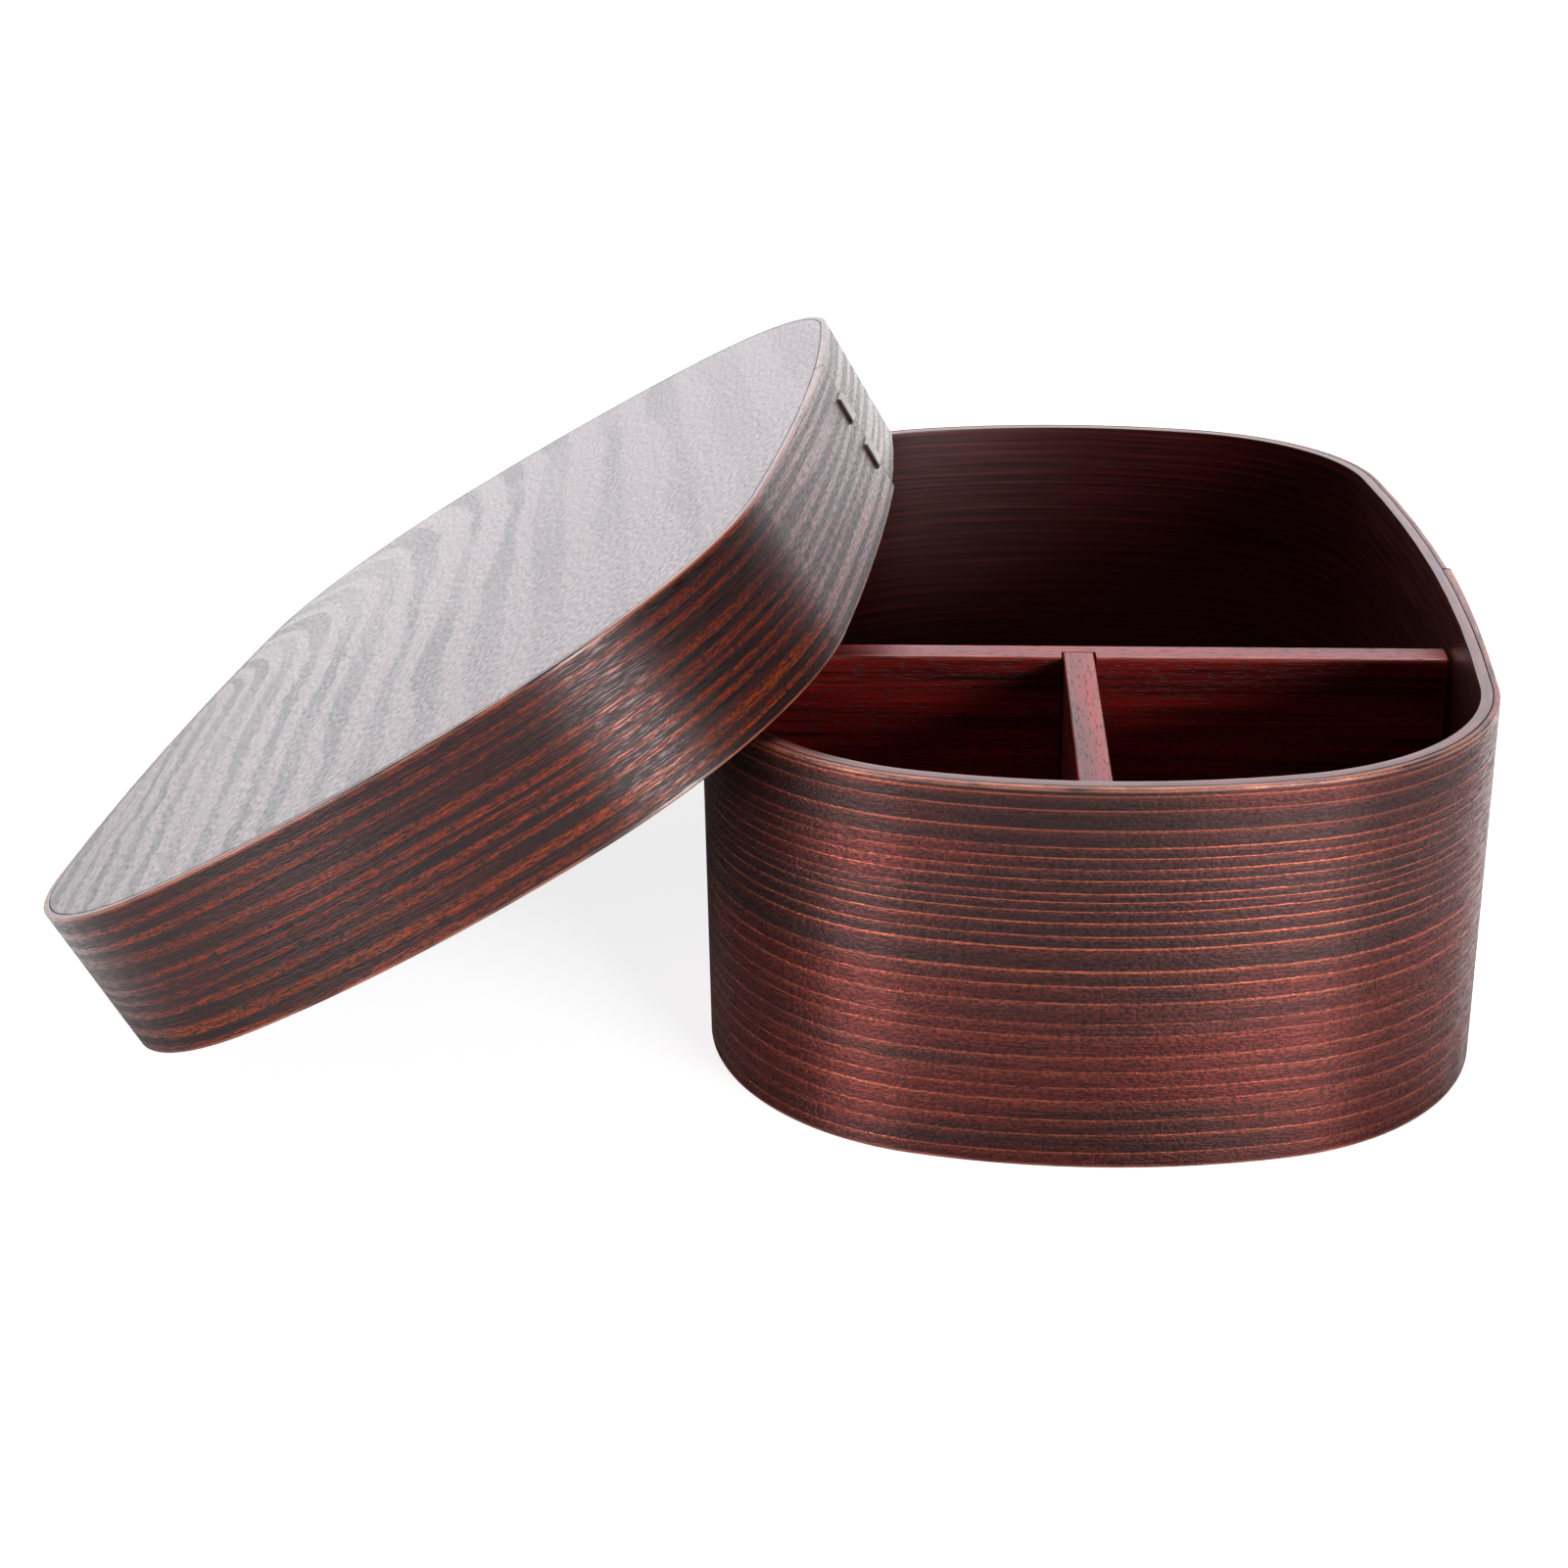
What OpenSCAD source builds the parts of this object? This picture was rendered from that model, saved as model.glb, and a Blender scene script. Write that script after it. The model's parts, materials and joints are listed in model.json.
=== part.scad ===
// Oblong bent-wood lunch box with two loose dividers and a deep lid.
// The lid is off: its left edge stands on the table and its open side leans on the box's left rim.
// Millimetres, +Z up, +X to the right, +Y to the back.
// The origin is the centre of the box's underside.

/* [Box] */
// Width of the box across its straighter sides
box_w = 115; // [105:0.5:130]
// Length of the box from front to back
box_l = 179; // [170:0.5:190]
// Height of the box
box_h = 54; // [48:0.5:70]
// Radius of the gently curved left and right sides
side_r = 490; // [400:5:800]
// Radius of the curved front and back
end_r = 102.5; // [96:0.5:112]
// Radius of the four corners
corner_r = 39.4; // [34:0.1:43]
// Thickness of the base board
base_t = 4; // [3:0.1:6]
// Thickness of the box's outer band
box_outer_t = 0.9; // [0.7:0.1:1.5]
// Thickness of the box's inner band
box_inner_t = 1.6; // [1.2:0.1:2.5]

/* [Lid] */
// Height of the lid
lid_h = 23; // [18:0.5:30]
// Thickness of the lid's top board
top_t = 4; // [3:0.1:6]
// Thickness of the lid's outer band
lid_outer_t = 1; // [0.7:0.1:1.5]
// Thickness of the lid's inner band
lid_inner_t = 2.1; // [1.2:0.1:2.5]
// Room all round between the box and the lid that goes over it
lid_gap = 1.8; // [1.4:0.1:2.5]
// Glue line between an inner band or a board and what it is glued to
glue_t = 0.1; // [0.05:0.05:0.2]

/* [Leaning lid] */
// Angle at which the lid leans, in degrees
lean = 29.95; // [26:0.05:34]
// Turn of the leaning lid about the vertical, in degrees
lid_turn = -2; // [-4:0.1:4]
// Distance of the lid's centre behind the box's centre
lid_y = 3.2; // [-6:0.2:6]
// Room between the lid's lower edge and the rim that it leans on
lean_gap = 0.15; // [0.1:0.05:0.5]

/* [Lap joints] */
// Length over which the end of an outer band lies on its own start
lap_len = 36; // [25:1:40]
// Step at the end of the lap
lap_step = 0.5; // [0.3:0.05:0.7]
// Place of the lap's end along the box's right side
box_lap_y = 1; // [-10:0.5:10]
// Place of the lap's end along the lid's right side
lid_lap_y = 14.5; // [0:0.5:20]

/* [Lacing] */
// Width of the bark strip
strip_w = 4.4; // [3:0.1:6]
// Thickness of the bark strip
strip_t = 0.5; // [0.3:0.05:0.6]
// Distance from the lap's end to the strip
strip_inset = 0.5; // [0.3:0.1:3]
// Length of one stitch
stitch_l = 4.6; // [3.5:0.1:5.5]
// Distance from one stitch to the next
stitch_pitch = 8.3; // [7:0.1:9]
// Distance from the box's rim to the first stitch
box_stitch_drop = 8; // [6:0.1:10]
// Distance from the underside of the lid's top board to the first stitch
lid_stitch_drop = 1.2; // [1:0.1:3]
// Least distance below the last stitch, to the base board or to the lid's lower edge
stitch_margin = 3; // [2:0.1:4]
// Length of the strip's two ends, which lie behind the first and the last stitch
tail_l = 2.5; // [1.5:0.1:2.5]
// Room round the strip in its slits and its bed, and between it and the faces that it lies on
slit_gap = 0.1; // [0.05:0.05:0.2]

/* [Dividers] */
// Height of both dividers
divider_h = 43.3; // [30:0.1:46]
// Thickness of the long divider
long_t = 5.2; // [4:0.1:7]
// Place of the long divider's middle, front to back
long_y = -20.8; // [-30:0.2:10]
// Thickness of the cross divider
cross_t = 4.6; // [4:0.1:7]
// Place of the cross divider's middle, left to right
cross_x = -1.2; // [-20:0.1:20]
// Depth of the groove in the long divider that takes the cross divider's end
groove_d = 2.5; // [1.5:0.1:3.2]
// Room on each side of the cross divider in its groove, and at the groove's bottom
groove_gap = 0.2; // [0.1:0.05:0.4]
// Room between a divider's end and the box's wall
divider_gap = 0.55; // [0.3:0.05:1]
// Room between a divider's lower edge and the base board
foot_gap = 0.2; // [0.1:0.05:0.4]

/* [Hidden] */

$fa = 0.5;
$fs = 0.3;

// Walls of the box and the lid
box_wall = box_outer_t + glue_t + box_inner_t;
lid_wall = lid_outer_t + glue_t + lid_inner_t;
lid_grow = lid_gap + lid_wall;

// The plan is eight arcs that run smoothly into each other.
// A corner's arc touches the side's arc and the end's arc, which sets its centre.
side_cx = box_w / 2 - side_r;
end_cy = box_l / 2 - end_r;
side_reach = side_r - corner_r;
end_reach = end_r - corner_r;
centre_line = [-side_cx, end_cy];
centre_dist = norm(centre_line);
centre_dir = centre_line / centre_dist;
along = (side_reach * side_reach - end_reach * end_reach + centre_dist * centre_dist) / (2 * centre_dist);
across = sqrt(side_reach * side_reach - along * along);
corner_c = [side_cx, 0] + along * centre_dir + across * [-centre_dir.y, centre_dir.x];
corner_start = atan2(corner_c.y, corner_c.x - side_cx);
corner_end = atan2(corner_c.y - end_cy, corner_c.x);

// A size larger than the whole plan, and how far a cut runs past what it cuts
field = box_w + box_l;
cut = 1;

// Lower edge of the dividers
divider_z = base_t + foot_gap;

// Upper end of the first stitch, and as many stitches as there is room for
box_stitch_z = box_h - box_stitch_drop;
lid_stitch_z = -top_t - lid_stitch_drop;
box_stitches = stitch_count(box_stitch_z - base_t - glue_t);
lid_stitches = stitch_count(lid_h + lid_stitch_z);

// The leaning lid: its lower left edge is on the table, and its open side clears the rim by lean_gap.
lid_half_w = box_w / 2 + lid_grow;
lid_z = lid_half_w * sin(lean) + lid_h * cos(lean);
edge_step = 0.1;
lean_steps = 24;
lid_edge = [for (side = [-1, 1], a = [corner_start : edge_step : corner_end])
            let (p = corner_c + (corner_r + lid_gap) * [cos(a), sin(a)])
            [p.x, side * p.y, -lid_h]];
lid_x = lean_x(-field, 0, lean_steps);

// Distance of a plan point from the box's outline, negative inside
function outline_dist(p) =
    let (q = [abs(p.x), abs(p.y)])
    atan2(q.y, q.x - side_cx) < corner_start ? norm(q - [side_cx, 0]) - side_r
    : atan2(q.y - end_cy, q.x) > corner_end ? norm(q - [0, end_cy]) - end_r
    : norm(q - corner_c) - corner_r;

// A point of the lid, in its own frame, where it lies when the lid's centre is at x
function lid_point(p, x) =
    let (u = p.x * cos(lean) - p.z * sin(lean))
    [x + u * cos(lid_turn) - p.y * sin(lid_turn),
     lid_y + u * sin(lid_turn) + p.y * cos(lid_turn),
     lid_z + p.x * sin(lean) + p.z * cos(lean)];

// Least height of the lid's edge over the box's rim when the lid's centre is at x
function rim_room(x) =
    min(concat([field], [for (e = lid_edge) let (p = lid_point(e, x)) if (outline_dist(p) < 0) p.z - box_h]));

// The place furthest to the right at which the lid's edge still clears the rim, by halving the range
function lean_x(low, high, steps) =
    steps == 0 ? low
    : let (mid = (low + high) / 2)
      rim_room(mid) > lean_gap ? lean_x(mid, high, steps - 1) : lean_x(low, mid, steps - 1);

// X of the right side's face at y, for a plan grown by grow
function side_x(y, grow) = side_cx + sqrt(pow(side_r + grow, 2) - y * y);

// The lap's outer face is the side's arc turned about the lap's start, so that it rises to the step.
function lap_angle() = asin(lap_step / lap_len);
function lap_start(end_y, grow) = [side_x(end_y - lap_len, grow), end_y - lap_len];
function lap_centre(end_y, grow) =
    let (s = lap_start(end_y, grow), d = [side_cx, 0] - s, a = -lap_angle())
    s + [d.x * cos(a) - d.y * sin(a), d.x * sin(a) + d.y * cos(a)];
function lap_x(y, end_y, grow) =
    let (c = lap_centre(end_y, grow))
    c.x + sqrt(pow(side_r + grow, 2) - pow(y - c.y, 2));

// Middle of the strip, and the faces of the outer band that it lies on outside and inside
function strip_y(end_y) = end_y - strip_inset - strip_w / 2;
function strip_edges(end_y) = [strip_y(end_y) - strip_w / 2, strip_y(end_y) + strip_w / 2];
function strip_out_x(end_y, grow) = max([for (y = strip_edges(end_y)) lap_x(y, end_y, grow)]) + slit_gap;
function strip_in_x(end_y, grow) = min([for (y = strip_edges(end_y)) side_x(y, grow)]) - slit_gap;

// Number of stitches that fit in a height, and the height of each one's upper end
function stitch_count(room) = 1 + max(0, floor((room - stitch_l - stitch_margin) / stitch_pitch));
function stitch_tops(top_z, count) = [for (i = [0 : count - 1]) top_z - i * stitch_pitch];

// Plan of the box grown by grow, or shrunk where it is negative.
// The four large circles make the sides, and the circles at the corners round them off.
module plan(grow) {
    near = corner_c + (corner_r + grow) * [cos(corner_start), sin(corner_start)];
    far = corner_c + (corner_r + grow) * [cos(corner_end), sin(corner_end)];
    run = (near.x - far.x) / (far.y - near.y);
    x = box_w / 2 + grow + cut;
    y = box_l / 2 + grow + cut;
    near_y = near.y - (x - near.x) / run;
    far_x = far.x - (y - far.y) * run;
    intersection() {
        translate([side_cx, 0]) circle(r = side_r + grow);
        translate([-side_cx, 0]) circle(r = side_r + grow);
        translate([0, end_cy]) circle(r = end_r + grow);
        translate([0, -end_cy]) circle(r = end_r + grow);
        polygon([[x, near_y], [far_x, y], [-far_x, y], [-x, near_y],
                 [-x, -near_y], [-far_x, -y], [far_x, -y], [x, -near_y]]);
    }
    for (sx = [-1, 1], sy = [-1, 1])
        translate([sx * corner_c.x, sy * corner_c.y]) circle(r = corner_r + grow);
}

// The end of an outer band where it lies on the band's own start
module lap(end_y, grow) {
    intersection() {
        translate(lap_centre(end_y, grow)) circle(r = side_r + grow);
        translate([0, end_y - lap_len]) square([field, lap_len]);
    }
}

// Ring of the plan between two growths
module ring(outer, inner, height) {
    linear_extrude(height) difference() {
        plan(outer);
        plan(inner);
    }
}

// Outer band with its lapped end, from z = 0 up
module outer_band(grow, thick, height, lap_y) {
    linear_extrude(height) difference() {
        union() {
            plan(grow);
            lap(lap_y, grow);
        }
        plan(grow - thick);
    }
}

// Slits through an outer band for a strip, one at each end of each stitch
module slits(lap_y, grow, thick, top_z, count) {
    in_x = strip_in_x(lap_y, grow - thick) - strip_t - cut;
    out_x = strip_out_x(lap_y, grow) + strip_t + cut;
    for (z = stitch_tops(top_z, count), end_z = [z - strip_t, z - stitch_l])
        translate([in_x, strip_y(lap_y) - strip_w / 2 - slit_gap, end_z - slit_gap])
            cube([out_x - in_x, strip_w + 2 * slit_gap, strip_t + 2 * slit_gap]);
}

// Bed in the outer face of an inner band for the runs of the strip behind the outer band
module bed(lap_y, grow, thick, top_z, count) {
    in_x = strip_in_x(lap_y, grow - thick) - strip_t - slit_gap;
    height = (count - 1) * stitch_pitch + stitch_l + 2 * slit_gap;
    translate([in_x, strip_y(lap_y) - strip_w / 2 - slit_gap, top_z + slit_gap - height])
        cube([side_x(0, grow) - in_x + cut, strip_w + 2 * slit_gap, height]);
}

// Bark strip that runs out and in through the slits, with its two ends behind the outer band
module lacing(lap_y, grow, thick, top_z, count) {
    in_x = strip_in_x(lap_y, grow - thick);
    out_x = strip_out_x(lap_y, grow);
    tops = stitch_tops(top_z, count);
    rest_l = stitch_pitch - stitch_l + 2 * strip_t;
    translate([0, strip_y(lap_y) - strip_w / 2, 0]) {
        for (z = tops) {
            translate([out_x, 0, z - stitch_l]) cube([strip_t, strip_w, stitch_l]);
            for (end_z = [z - strip_t, z - stitch_l])
                translate([in_x - strip_t, 0, end_z]) cube([out_x - in_x + 2 * strip_t, strip_w, strip_t]);
        }
        for (i = [1 : 1 : count - 1])
            translate([in_x - strip_t, 0, tops[i] - strip_t]) cube([strip_t, strip_w, rest_l]);
        for (z = [top_z - tail_l, tops[count - 1] - stitch_l])
            translate([in_x - strip_t, 0, z]) cube([strip_t, strip_w, tail_l]);
    }
}

// Puts a piece of the lid, drawn with its top at z = 0, where the lid leans
module leaning() {
    translate([lid_x, lid_y, lid_z]) rotate([0, 0, lid_turn]) rotate([0, -lean, 0]) children();
}

// Space that a divider fills between the walls
module divider_space() {
    translate([0, 0, divider_z]) linear_extrude(divider_h) plan(-box_wall - divider_gap);
}

module base_board() {
    color("saddlebrown") linear_extrude(base_t) plan(-box_outer_t - glue_t);
}

module body_inner_band() {
    z = base_t + glue_t;
    color("sienna") difference() {
        translate([0, 0, z]) ring(-box_outer_t - glue_t, -box_wall, box_h - z);
        bed(box_lap_y, 0, box_outer_t, box_stitch_z, box_stitches);
    }
}

module body_outer_band() {
    color("brown") difference() {
        outer_band(0, box_outer_t, box_h, box_lap_y);
        slits(box_lap_y, 0, box_outer_t, box_stitch_z, box_stitches);
    }
}

module body_lacing() {
    color("peru") lacing(box_lap_y, 0, box_outer_t, box_stitch_z, box_stitches);
}

module long_divider() {
    front_y = long_y - long_t / 2;
    color("darkred") difference() {
        intersection() {
            translate([-field / 2, front_y, 0]) cube([field, long_t, box_h]);
            divider_space();
        }
        translate([cross_x - cross_t / 2 - groove_gap, front_y - cut, 0])
            cube([cross_t + 2 * groove_gap, cut + groove_d, box_h]);
    }
}

module cross_divider() {
    back_y = long_y - long_t / 2 + groove_d - groove_gap;
    color("maroon") intersection() {
        translate([cross_x - cross_t / 2, back_y - field, 0]) cube([cross_t, field, box_h]);
        divider_space();
    }
}

module lid_top_board() {
    color("saddlebrown") leaning() translate([0, 0, -top_t])
        linear_extrude(top_t) plan(lid_grow - lid_outer_t - glue_t);
}

module lid_inner_band() {
    color("sienna") leaning() difference() {
        translate([0, 0, -lid_h])
            ring(lid_grow - lid_outer_t - glue_t, lid_gap, lid_h - top_t - glue_t);
        bed(lid_lap_y, lid_grow, lid_outer_t, lid_stitch_z, lid_stitches);
    }
}

module lid_outer_band() {
    color("brown") leaning() difference() {
        translate([0, 0, -lid_h]) outer_band(lid_grow, lid_outer_t, lid_h, lid_lap_y);
        slits(lid_lap_y, lid_grow, lid_outer_t, lid_stitch_z, lid_stitches);
    }
}

module lid_lacing() {
    color("peru") leaning() lacing(lid_lap_y, lid_grow, lid_outer_t, lid_stitch_z, lid_stitches);
}

base_board();
body_inner_band();
body_outer_band();
body_lacing();
long_divider();
cross_divider();
lid_top_board();
lid_inner_band();
lid_outer_band();
lid_lacing();
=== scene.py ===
"""Bent-wood lunch box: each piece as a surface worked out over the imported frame, its wood and a studio.

The box stands on its base with two loose dividers in it, and its deep lid leans on the left rim.
Sizes are metres. Each piece carries its own layout of the grain, in millimetres of wood.
"""

import json
import math

import bmesh
import bpy
import numpy as np
from bpy.props import FloatProperty, FloatVectorProperty, PointerProperty
from mathutils import Matrix, Vector

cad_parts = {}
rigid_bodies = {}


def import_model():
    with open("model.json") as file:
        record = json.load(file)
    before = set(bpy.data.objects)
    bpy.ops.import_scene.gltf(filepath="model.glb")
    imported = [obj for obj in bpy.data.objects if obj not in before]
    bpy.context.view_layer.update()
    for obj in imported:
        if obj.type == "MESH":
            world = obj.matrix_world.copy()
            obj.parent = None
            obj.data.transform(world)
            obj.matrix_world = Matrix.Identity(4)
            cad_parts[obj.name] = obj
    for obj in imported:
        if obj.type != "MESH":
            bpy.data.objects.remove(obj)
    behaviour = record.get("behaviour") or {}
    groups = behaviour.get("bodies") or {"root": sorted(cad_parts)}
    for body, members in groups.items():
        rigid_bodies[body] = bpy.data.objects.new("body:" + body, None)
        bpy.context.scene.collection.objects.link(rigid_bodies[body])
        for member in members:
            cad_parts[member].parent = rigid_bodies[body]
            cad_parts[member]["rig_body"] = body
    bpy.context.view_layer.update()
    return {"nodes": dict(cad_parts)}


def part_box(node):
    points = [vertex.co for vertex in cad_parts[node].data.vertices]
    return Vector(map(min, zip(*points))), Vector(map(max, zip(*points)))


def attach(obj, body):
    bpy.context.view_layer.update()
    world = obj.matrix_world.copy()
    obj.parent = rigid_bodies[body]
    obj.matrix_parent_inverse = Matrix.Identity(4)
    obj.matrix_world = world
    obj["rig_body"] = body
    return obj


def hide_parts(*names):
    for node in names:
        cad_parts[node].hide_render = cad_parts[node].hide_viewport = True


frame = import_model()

bl_info = {
    "name": "Bent-wood lunch box",
    "version": (1, 0, 0),
    "blender": (4, 5, 0),
    "location": "View3D > Sidebar > Lunch Box",
    "description": "Walls, boards, dividers and lacing of a bent-wood lunch box, and a studio for it",
    "category": "Object",
}

MM = 0.001
UPRIGHT = Matrix.Identity(4)

# The UV map and the attribute that the finishes read.
GRAIN = "grain"
WEAR = "wear"

# Meshes: how close points are welded, how far a sharp edge turns, the steps of a rounding and of a fold.
WELD = 0.001 * MM
SHARP_TURN = math.radians(40)
ROUND_STEPS = 5
FOLD_STEPS = 4
# Rings of a board, as shares of the way out to its edge.
RING_SHARES = np.array([0, 0.3, 0.6, 0.85, 1])
# Rounding of a strip's edges, as a share of its half thickness.
STRIP_ROUND = 0.6

# Lacquer: roughness of the clear coat, and the turn that lays the brushed grain along the wood.
COAT_ROUGHNESS = 0.22
GRAIN_TURN = 0.25

# Studio: the photo's side in pixels, the sensor in millimetres, and the point that the lamps face.
PHOTO_SIDE = 1601
SENSOR = 36.0
LAMP_AIM = Vector((0, 0, 0.03))
# The white card, its glow, and the middle and the fading edge of the shadows on it, in metres.
CARD = (0.8, 0.8, 0.8)
CARD_GLOW = 0.8
SHADOW_MIDDLE = (-0.1, 0, 0)
SHADOW_EDGE = (0.19, 0.30)
# The sky's tint, and the range of a direction's backward part over which its front turns to its back.
SKY_TINT = (0.97, 0.95, 1)
SKY_TURN = (0.45, 0.95)


def length(name, text, default):
    """A length that a user may change, in metres."""
    return FloatProperty(name=name, description=text, default=default, unit="LENGTH", precision=5)


def angle(name, text, degrees):
    """An angle that a user may change, given in degrees."""
    return FloatProperty(name=name, description=text, default=math.radians(degrees), subtype="ANGLE")


def colour(name, text, default):
    """A stain that a user may change, in scene-linear red, green and blue."""
    return FloatVectorProperty(name=name, description=text, default=default, subtype="COLOR", min=0, max=1)


def light(name, text, default):
    """The power of a lamp, in watts."""
    return FloatProperty(name=name, description=text, default=default, unit="POWER", min=0)


class BoxSizes(bpy.types.PropertyGroup):
    """Sizes of the walls, boards and dividers that the frame's boxes don't give."""

    side_r: length("Side radius", "Radius of the gently curved left and right sides", 490 * MM)
    end_r: length("End radius", "Radius of the curved front and back", 102.5 * MM)
    corner_r: length("Corner radius", "Radius of the four corners", 39.4 * MM)
    box_outer_t: length("Outer band", "Thickness of the box's outer band", 0.9 * MM)
    box_inner_t: length("Inner band", "Thickness of the box's inner band", 1.6 * MM)
    lid_outer_t: length("Lid's outer band", "Thickness of the lid's outer band", 1.0 * MM)
    lid_inner_t: length("Lid's inner band", "Thickness of the lid's inner band", 2.1 * MM)
    groove_d: length("Groove", "Depth of the groove in the long divider", 2.5 * MM)
    groove_gap: length("Groove's room", "Room beside the cross divider in its groove", 0.2 * MM)
    rim_round: length("Worn rim", "Rounding of the box's outer rim and foot", 0.3 * MM)
    lid_round: length("Lid's edge", "Rounding of the lid's outer edges", 0.2 * MM)
    edge_round: length("Eased edge", "Rounding of the other edges of bands and boards", 0.1 * MM)
    divider_round: length("Divider's edge", "Rounding of the dividers' edges", 0.45 * MM)
    worn_w: length("Worn width", "Width of the wear beside an edge", 0.4 * MM)


class LapSizes(bpy.types.PropertyGroup):
    """Lap joints of the outer bands and the bark strips that lace them."""

    lap_len: length("Lap", "Length over which an outer band lies on its own start", 36 * MM)
    lap_step: length("Step", "Step at the lap's end", 0.5 * MM)
    strip_inset: length("Inset", "Distance from the lap's end to the strip", 0.5 * MM)
    strip_t: length("Strip", "Thickness of the bark strip", 0.5 * MM)
    stitch_l: length("Stitch", "Length of one stitch", 4.6 * MM)
    stitch_pitch: length("Pitch", "Distance from one stitch to the next", 8.3 * MM)
    tail_l: length("Tail", "Length of the strip's two ends on the inside", 2.5 * MM)
    slit_gap: length("Slit's room", "Room round the strip in its slits", 0.1 * MM)
    fold_r: length("Fold", "Radius of the strip's folds at its middle", 0.3 * MM)


class LeanAngles(bpy.types.PropertyGroup):
    """How the lid leans."""

    lean: angle("Lean", "Angle at which the lid leans on the rim", 29.95)
    turn: angle("Turn", "Turn of the leaning lid about the vertical", -2.0)


class WoodColours(bpy.types.PropertyGroup):
    """Stains of the wood and the bark."""

    # Soot also darkens the bark strip's cut sides, as painted shade.
    soot_and_painted_shade: colour("Soot", "Scorched wood between the rings", (0.008, 0.005, 0.005))
    charcoal: colour("Charcoal", "Dark stain of the walls", (0.033, 0.013, 0.014))
    red_brown: colour("Red-brown", "Redder stain low on the walls", (0.160, 0.015, 0.012))
    ember: colour("Ember", "Raised rings where the stain is rubbed through", (0.520, 0.115, 0.062))
    orange: colour("Orange", "Rubbed stripes of the lid's wall", (0.270, 0.035, 0.006))
    worn: colour("Worn", "Bare wood on worn edges", (0.420, 0.130, 0.070))
    inside: colour("Inside", "Dark lacquer inside", (0.020, 0.002, 0.002))
    inside_red: colour("Inside red", "Red rings inside", (0.095, 0.007, 0.006))
    divider: colour("Divider", "Deep red lacquer of the dividers", (0.400, 0.006, 0.005))
    haze: colour("Haze", "Grey bloom in the rings of the lid's top", (0.012, 0.014, 0.020))
    lacquer: colour("Lacquer", "Tint of what the lid's wall mirrors", (1.0, 0.86, 0.86))
    fibre: colour("Fibre", "Tint of what the fibres under the lacquer mirror", (1.0, 0.74, 0.73))
    bark: colour("Bark", "Silky bark strip", (0.130, 0.070, 0.055))


class StudioSizes(bpy.types.PropertyGroup):
    """Camera and light."""

    azimuth: angle("Azimuth", "Turn of the camera about the vertical", 1.2605)
    elevation: angle("Elevation", "Height of the camera over the horizon", 21.715)
    depth: length("Depth", "Distance of the origin along the view", 0.4076)
    focal: FloatProperty(
        name="Focal length", description="Focal length in pixels of the photo", default=2524.2)
    origin_px: FloatVectorProperty(
        name="Origin", description="Pixel of the box's origin", size=2, default=(1094.52, 898.79))
    axis_px: FloatVectorProperty(
        name="Axis", description="Pixel on the lens's axis", size=2, default=(916.22, 755.40))
    key_left: light("Left softbox", "Power of the softbox at the front left", 5.0)
    key_right: light("Right softbox", "Power of the softbox at the front right", 6.9)
    overhead: light("Overhead", "Power of the softbox over the box", 10.5)
    front_sky: FloatProperty(
        name="Front", description="Brightness of the sky behind the camera", default=0.05)
    back_sky: FloatProperty(
        name="Back", description="Brightness of the sky behind the box", default=1.45)
    floor_w: length("Floor", "Width of the floor", 6.0)
    floor_drop: length("Floor's drop", "How far the floor lies under the box", 0.1 * MM)


class LunchBox(bpy.types.PropertyGroup):
    """All sizes and colours of the lunch box and its studio."""

    box: PointerProperty(type=BoxSizes)
    lap: PointerProperty(type=LapSizes)
    lid: PointerProperty(type=LeanAngles)
    wood: PointerProperty(type=WoodColours)
    studio: PointerProperty(type=StudioSizes)


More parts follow.
